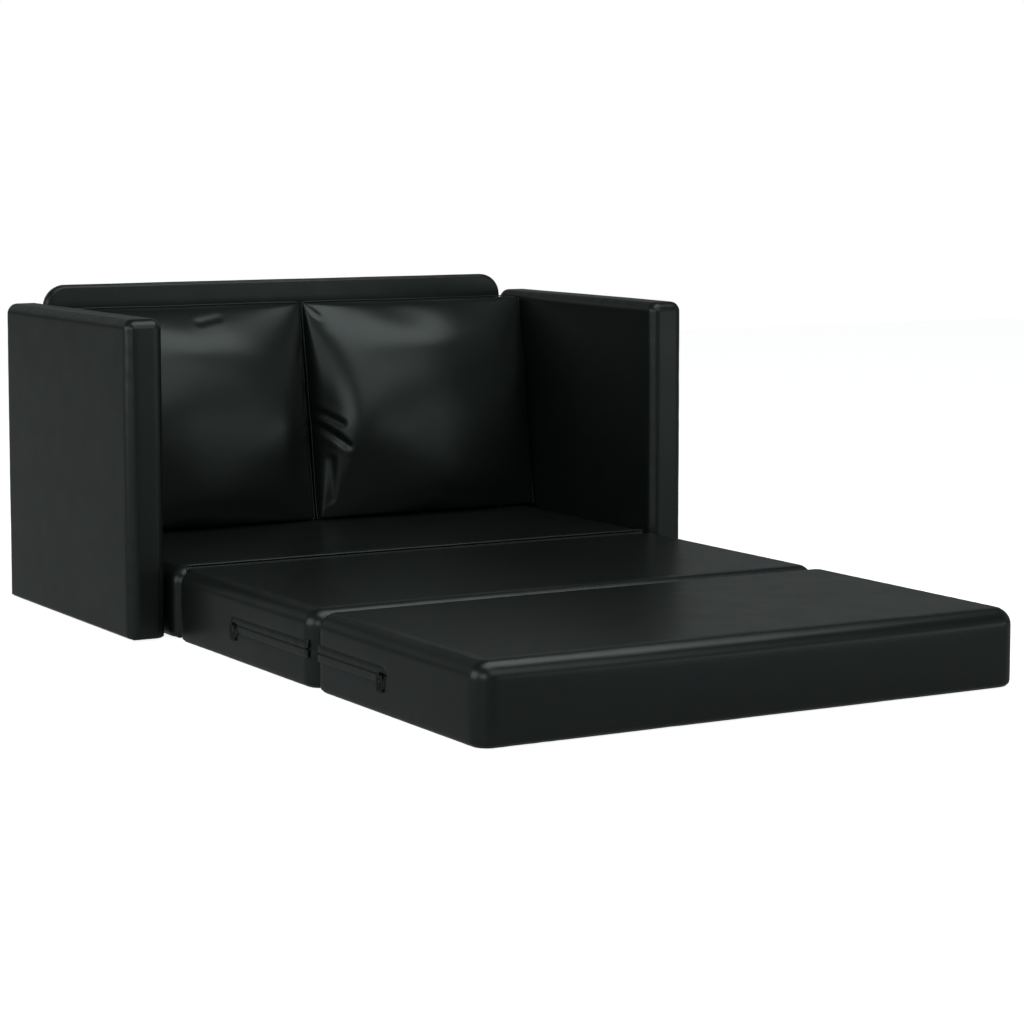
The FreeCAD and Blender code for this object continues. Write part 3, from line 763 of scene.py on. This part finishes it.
# back cushions, sewn from two panels and blown up as cloth
cushion = {
    "seeds": {"left": 11, "right": 5}, "mirrored": {"left": True, "right": False},
    # the two flat panels and the shape that they start from
    "width": 570 * mm, "height": 560 * mm, "cell": 7 * mm, "startHalf": 60 * mm, "plump": 3.0,
    "sideBow": 0.045, "cornerCut": 0.045, "cornerPower": 12, "unevenDepth": 1.6 * mm,
    # cloth
    "pressure": 3.2, "mass": 0.35, "stiffness": 20.0, "bending": 3.0, "damping": 2.0, "frames": 20, "quality": 6,
    "calmRounds": 70, "calmShare": 0.6,
    # how it stands on the bed and leans on the back panel
    "straighten": 0.86, "edgeFrom": 0.72, "sideGap": 3.0 * mm, "bedClear": 1.3 * mm, "bottomSoftness": 7 * mm,
    "tuck": 20 * mm, "depth": 180 * mm, "lean": 66 * mm, "rearLimit": 842 * mm, "rearSoftness": 8 * mm,
    "fatHeights": (0.0, 0.3, 0.55, 1.0), "fatShares": (0.7, 0.96, 1.08, 0.92),
    "creaseWidth": 11 * mm, "ridge": 1.3,
    "pipingRadius": 1.4 * mm, "pipingSides": 8, "pipingWear": 0.6, "fillShare": 0.965, "fill": 0.8,
}


def pillowStart(look, seed, mirrored):
    countU = int(look["width"] / look["cell"])
    countV = int(look["height"] / look["cell"])
    known, points, faces = {}, [], []
    source = np.random.default_rng(seed)
    phases = source.uniform(0, 2 * math.pi, 6)

    def spot(i, j, side):
        edge = i in (0, countU) or j in (0, countV)
        key = (i, j, 0 if edge else side)
        if key not in known:
            u, v = 2 * i / countU - 1, 2 * j / countV - 1
            power = look["cornerPower"]
            x = u * look["width"] / 2 * (1 - look["sideBow"] * v * v - look["cornerCut"] * v ** power)
            z = v * look["height"] / 2 * (1 - look["sideBow"] * u * u - look["cornerCut"] * u ** power)
            y = 0.0
            if not edge:
                swell = (1 - abs(u) ** look["plump"]) * (1 - abs(v) ** look["plump"])
                uneven = math.sin(7 * u + 3 * v + phases[0] + side) * math.cos(5 * v - 2 * u + phases[1])
                y = side * look["startHalf"] * math.sqrt(swell) + look["unevenDepth"] * uneven
            known[key] = len(points)
            points.append((-x if mirrored else x, y, z))
        return known[key]

    for side in (-1, 1):
        for i in range(countU):
            for j in range(countV):
                face = [spot(i, j, side), spot(i + 1, j, side), spot(i + 1, j + 1, side), spot(i, j + 1, side)]
                if (side == 1) != mirrored:
                    face.reverse()
                faces.append(face)
    rim = [(i, 0) for i in range(countU)] + [(countU, j) for j in range(countV)]
    rim += [(i, countV) for i in range(countU, 0, -1)] + [(0, j) for j in range(countV, 0, -1)]
    return points, faces, [known[(i, j, 0)] for i, j in rim]


def inflate(points, faces, look):
    mesh = bpy.data.meshes.new("pillow")
    mesh.from_pydata(points, [], faces)
    item = bpy.data.objects.new("pillow", mesh)
    scene.collection.objects.link(item)
    cloth = item.modifiers.new("cloth", "CLOTH")
    values = cloth.settings
    values.quality = look["quality"]
    values.mass = look["mass"]
    values.tension_stiffness = look["stiffness"]
    values.compression_stiffness = look["stiffness"]
    values.shear_stiffness = look["stiffness"] / 2
    values.bending_stiffness = look["bending"]
    values.air_damping = look["damping"]
    values.use_pressure = True
    values.uniform_pressure_force = look["pressure"]
    values.effector_weights.gravity = 0
    cloth.collision_settings.use_collision = False
    for step in range(1, look["frames"] + 1):
        scene.frame_set(step)
    seen = item.evaluated_get(bpy.context.evaluated_depsgraph_get())
    result = np.array([v.co for v in seen.data.vertices])
    bpy.data.objects.remove(item)
    scene.frame_set(1)
    return result


cushionCreases = {
    # start and end on the front panel, from -1 to 1 across and up, and depth in mm
    "left": [(0.04, 0.85, 0.22, 0.89, 1.6), (0.98, 0.66, 0.88, 0.46, 2.6), (0.98, 0.36, 0.90, 0.08, 2.6)],
    "right": [(-0.98, 0.98, -0.86, 0.84, 3.5), (-0.98, 0.04, -0.82, -0.06, 2.6), (-0.98, -0.08, -0.77, -0.25, 3.4),
              (-0.90, -0.36, -0.88, -0.70, 2.2)],
}


def calmed(start, blown, faces, look):
    # the blown-up shape without its small puckers
    four = np.array(faces)
    pairs = np.concatenate([four[:, [k, (k + 1) % 4]] for k in range(4)])
    pairs = np.concatenate([pairs, pairs[:, ::-1]])
    degree = np.bincount(pairs[:, 0], minlength=len(start))
    shift = blown - start
    for _ in range(look["calmRounds"]):
        sums = [np.bincount(pairs[:, 0], shift[pairs[:, 1], axis], len(start)) for axis in range(3)]
        shift += (np.column_stack(sums) / degree[:, None] - shift) * look["calmShare"]
    return start + shift


def creaseDip(start, look, creases):
    # each crease is a groove between two low ridges, on the front panel only
    half = np.array([look["width"], look["height"]]) / 2
    spots = start[:, [0, 2]]
    total = np.zeros(len(start))
    for u0, v0, u1, v1, depth in creases:
        first = np.array([u0, v0]) * half
        run = np.array([u1, v1]) * half - first
        along = np.clip((spots - first) @ run / (run @ run), 0, 1)
        away = np.linalg.norm(spots - first - along[:, None] * run, axis=1) / look["creaseWidth"]
        total -= depth * mm * (1 - look["ridge"] * away ** 2) * np.exp(-away ** 2)
    return np.where(start[:, 1] < 0, total, 0)


def straightened(points, rim, axis, other, look):
    # stretches each row of the pillow so that its side seams stand nearly straight
    half = (points[:, axis].max() - points[:, axis].min()) / 2
    result = points[:, axis].copy()
    for sign in (-1, 1):
        edge = [k for k in rim if points[k, axis] * sign > half * look["edgeFrom"]]
        edge = sorted(edge, key=lambda k: points[k, other])
        heights = [points[k, other] for k in edge]
        reach = [abs(points[k, axis]) for k in edge]
        here = np.interp(points[:, other], heights, reach)
        grown = 1 + (half / here - 1) * look["straighten"]
        result = np.where(points[:, axis] * sign > 0, points[:, axis] * grown, result)
    return result


def placePillow(points, rim, look, low, high):
    points = points - (points.max(axis=0) + points.min(axis=0)) / 2
    wide = straightened(points, rim, 0, 2, look)
    tallShape = straightened(points, rim, 2, 0, look)
    points = np.column_stack([wide, points[:, 1], tallShape])
    size = points.max(axis=0) - points.min(axis=0)
    x = points[:, 0] * (high[0] - low[0] - look["sideGap"]) / size[0] + (low[0] + high[0]) / 2
    share = points[:, 2] / size[2] + 0.5  # 0 at the bottom seam, 1 at the top seam
    tall = high[2] - low[2] + look["tuck"]
    z = high[2] - (1 - share) * tall
    fat = np.polyval(np.polyfit(look["fatHeights"], look["fatShares"], 3), share)
    upright = np.clip((z - low[2]) / (high[2] - low[2]), 0, 1)
    middle = (low[1] + high[1]) / 2 + (upright - 0.5) * look["lean"]
    y = middle + points[:, 1] * look["depth"] / size[1] * fat
    y = look["rearLimit"] - look["rearSoftness"] * np.logaddexp(0, (look["rearLimit"] - y) / look["rearSoftness"])
    soft = look["bottomSoftness"]
    z = low[2] + look["bedClear"] + soft * np.logaddexp(0, (z - low[2]) / soft)
    return np.column_stack([x, y, z])


def makeCushions():
    for side, seed in cushion["seeds"].items():
        body = side + "_cushion"
        low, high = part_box(body + "_cover")
        points, faces, rim = pillowStart(cushion, seed, cushion["mirrored"][side])
        start = np.array(points)
        blown = calmed(start, inflate(points, faces, cushion), faces, cushion)
        size = blown.max(axis=0) - blown.min(axis=0)
        print("cushion blown up", side, [round(float(s), 3) for s in size])
        shaped = placePillow(blown, rim, cushion, low, high)
        shaped += vertexNormals(shaped, faces) * creaseDip(start, cushion, cushionCreases[side])[:, None]
        worn = np.zeros(len(shaped))
        worn[rim] = 1
        cover = makePiece(body + "_leather", shaped, faces, leather, worn)
        subdivide = cover.modifiers.new("smoothing", "SUBSURF")
        subdivide.levels = 1
        subdivide.render_levels = 1
        seen = cover.evaluated_get(bpy.context.evaluated_depsgraph_get())
        fine = bpy.data.meshes.new_from_object(seen)
        cover.modifiers.clear()
        cover.data = fine
        handOver(cover, body, body + "_cover")
        centre = (shaped.max(axis=0) + shaped.min(axis=0)) / 2
        inside = centre + (shaped - centre) * cushion["fillShare"]
        filling = makePiece(body + "_filling", inside, faces, finishes["foam"])
        handOver(filling, body, body + "_fill")
        tube, tubeFaces = tubePoints(shaped[rim], cushion["pipingRadius"], cushion["pipingSides"], True)
        piping = makePiece(body + "_piping", tube, tubeFaces, leather, np.full(len(tube), cushion["pipingWear"]))
        handOver(piping, body)
        print("cushion", side, len(cover.data.polygons))


makeCushions()


# zips: two leather lips lie over each tape and nearly meet in front of the teeth
lipLook = {
    "outer": 15 * mm, "inner": 1.5 * mm, "rise": 2.2 * mm, "wall": 0.9 * mm, "past": 5 * mm, "step": 4 * mm,
    "across": (0, 0.12, 0.3, 0.5, 0.7, 0.85, 0.94, 1.0), "endRows": 3, "endStart": 0.4, "sink": 0.18 * mm,
    "deepest": 0.4 * mm, "riseBy": 1.6, "riseCurve": 0.7, "wear": 0.4,
    "ripple": 0.35 * mm, "rippleSize": 24 * mm, "stitchAt": 0.34, "stitchRise": 0.78,
}


def makeZipLips(section):
    tapeLow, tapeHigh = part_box(section + "_zip_tape")
    middle = (tapeLow[2] + tapeHigh[2]) / 2
    face = tapeHigh[0]
    look = lipLook
    count = round((tapeHigh[1] - tapeLow[1] + 2 * look["past"]) / look["step"])
    lengths = np.linspace(tapeLow[1] - look["past"], tapeHigh[1] + look["past"], count + 1)
    body = section + "_section"
    ring = 2 * len(look["across"])
    points, faces = [], []
    for sign in (-1, 1):
        row = [len(points) + k * ring for k in range(count + 1)]
        for k, y in enumerate(lengths):
            end = min(1.0, (min(k, count - k) + look["endStart"]) / look["endRows"])
            spots = []
            for share in look["across"]:
                z = middle + sign * (look["outer"] + (look["inner"] - look["outer"]) * share)
                spots.append((z, look["rise"] * min(1.0, share * look["riseBy"]) ** look["riseCurve"] * end))
            points += [(face - out - look["sink"], y, z) for z, out in spots]
            points += [(face - max(out - look["wall"], -look["deepest"]), y, z) for z, out in reversed(spots)]
        for k in range(count):
            for j in range(ring):
                n = (j + 1) % ring
                faces.append((row[k] + j, row[k] + n, row[k + 1] + n, row[k + 1] + j)[::sign])
        faces.append(tuple(row[0] + j for j in range(ring))[::-sign])
        faces.append(tuple(row[count] + j for j in range(ring))[::sign])
    points = np.array(points)
    ripple = look["ripple"] * waves(points, look["rippleSize"], len(section))
    points[:, 0] -= ripple * np.clip(1 - np.abs(points[:, 2] - middle) / look["outer"], 0, 1)
    piece = makePiece(section + "_zip_lips", points, faces, leather, np.full(len(points), look["wear"]))
    handOver(piece, body)
    for sign in (-1, 1):
        z = middle + sign * look["outer"] * (1 - look["stitchAt"])
        addStitches(body, [(face - look["rise"] * look["stitchRise"], y, z) for y in lengths[1:-1]])


for section in ("middle", "front"):
    makeZipLips(section)


# fold lines: a piping with its flange, and a strip that arches between the two sections
foldLook = {
    "step": 6 * mm, "sides": 12, "waver": 0.25 * mm, "waverSize": 60 * mm, "waverSeed": 90, "waverRadius": 2 * mm,
    "endShare": 0.25, "flangeGap": 0.6 * mm, "wall": 1.0 * mm, "flangeRows": 8,
    "bow": 0.25 * mm, "bowAlong": 55, "bowDown": 70, "wear": 0.5,
    "stripInset": 0.2 * mm, "stripPast": 1.7 * mm, "stripClear": 0.4 * mm, "stripWall": 0.6 * mm,
    "stripDrop": 9 * mm, "stripSteps": 10, "archPower": 0.6, "bendHalf": 1.6 * mm,
    "stitchShares": (0.35, 0.7), "stitchOut": 0.35 * mm,
}

foldLines = [
    {"name": "rear", "joint": "mattress_fold", "behind": "sofa_frame", "inFront": "middle_section",
     "radius": 2 * mm, "downwards": True},
    {"name": "front", "joint": "front_fold", "behind": "middle_section", "inFront": "front_section",
     "radius": 0.6 * mm, "downwards": False},
]


def facing(face, turned):
    return face[::-1] if turned else face


def makeFoldPiping(line, seamY, seamZ, along, end):
    # a cord along the fold line, and the flange that it is sewn on
    look, turned = foldLook, line["downwards"]
    count = len(along) - 1
    centre = np.array([[x, seamY, seamZ] for x in along])
    waver = waves(centre, look["waverSize"], look["waverSeed"])
    centre[:, 2] += look["waver"] * waver * (line["radius"] / look["waverRadius"])
    fromEnd = np.minimum(np.arange(count + 1), np.arange(count + 1)[::-1])
    ease = np.minimum(1, fromEnd / 2 + look["endShare"])
    tube, faces = tubePoints(centre, line["radius"], look["sides"], False)
    spine = np.repeat(centre, look["sides"], axis=0)
    tube = spine + (np.array(tube) - spine) * np.repeat(ease, look["sides"])[:, None]
    rows = look["flangeRows"]
    flange = []
    for x in along:
        for z in np.linspace(seamZ, end, rows + 1):
            y = seamY + look["flangeGap"] + look["bow"] * math.sin(x * look["bowAlong"] + z * look["bowDown"])
            flange += [(x, y, z), (x, y + look["wall"], z)]
    base, per = len(tube), 2 * (rows + 1)
    for i in range(count):
        p, q = base + i * per, base + (i + 1) * per
        for a in range(0, 2 * rows, 2):
            faces.append(facing((p + a, q + a, q + a + 2, p + a + 2), turned))
            faces.append(facing((p + a + 1, p + a + 3, q + a + 3, q + a + 1), turned))
        faces.append(facing((p, p + 1, q + 1, q), turned))
        faces.append(facing((p + per - 2, q + per - 2, q + per - 1, p + per - 1), turned))
    for i in (0, count):
        p = base + i * per
        for a in range(0, 2 * rows, 2):
            faces.append(facing((p + a, p + a + 2, p + a + 3, p + a + 1), turned == (i == 0)))
    points = np.vstack([tube, flange])
    piping = makePiece(line["name"] + "_fold_piping", points, faces, leather, np.full(len(points), look["wear"]))
    handOver(piping, line["behind"], line["name"] + "_fold_welt")


def makeFoldStrip(line, seamY, seamZ, along):
    # sewn low on both sections, it arches over the fold line
    look, turned = foldLook, line["downwards"]
    turn = -1 if turned else 1
    steps = look["stripSteps"]
    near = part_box(line["name"] + "_fold_flap")[0][1] + look["stripInset"]
    far = seamY + look["stripPast"]
    strip, faces = [], []
    for x in along:
        for share in np.linspace(0, 1, steps + 1):
            arch = math.sin(math.pi * share) ** look["archPower"]
            drop = look["stripDrop"] * (1 - arch) + line["radius"] + look["stripClear"]
            strip.append((x, near + (far - near) * share, seamZ + turn * drop))
    for i in range(len(along) - 1):
        for k in range(steps):
            a, c = i * (steps + 1) + k, (i + 1) * (steps + 1) + k
            faces.append(facing((a, c, c + 1, a + 1), not turned))
    piece = makePiece(line["name"] + "_fold_strip", strip, faces, leather)
    wall = piece.modifiers.new("wall", "SOLIDIFY")
    wall.thickness = look["stripWall"]
    wall.offset = -1
    bpy.context.view_layer.update()
    piece.data = bpy.data.meshes.new_from_object(piece.evaluated_get(bpy.context.evaluated_depsgraph_get()))
    piece.modifiers.clear()
    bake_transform(piece)
    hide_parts(line["name"] + "_fold_flap")


for line in foldLines:
    hinge = next(j for j in frame["joints"] if j["name"] == line["joint"])
    seamY, seamZ = hinge["pos_m"][1], hinge["pos_m"][2]
    low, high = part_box(line["name"] + "_fold_welt")
    along = np.linspace(low[0], high[0], round((high[0] - low[0]) / foldLook["step"]) + 1)
    end = low[2] if line["downwards"] else high[2]
    makeFoldPiping(line, seamY, seamZ, along, end)
    makeFoldStrip(line, seamY, seamZ, along)
    for share in foldLook["stitchShares"]:
        z = seamZ + (end - seamZ) * share
        addStitches(line["behind"], [(x, seamY + foldLook["stitchOut"], z) for x in along])
print("zips and folds ready")


layStitches()

low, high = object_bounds()
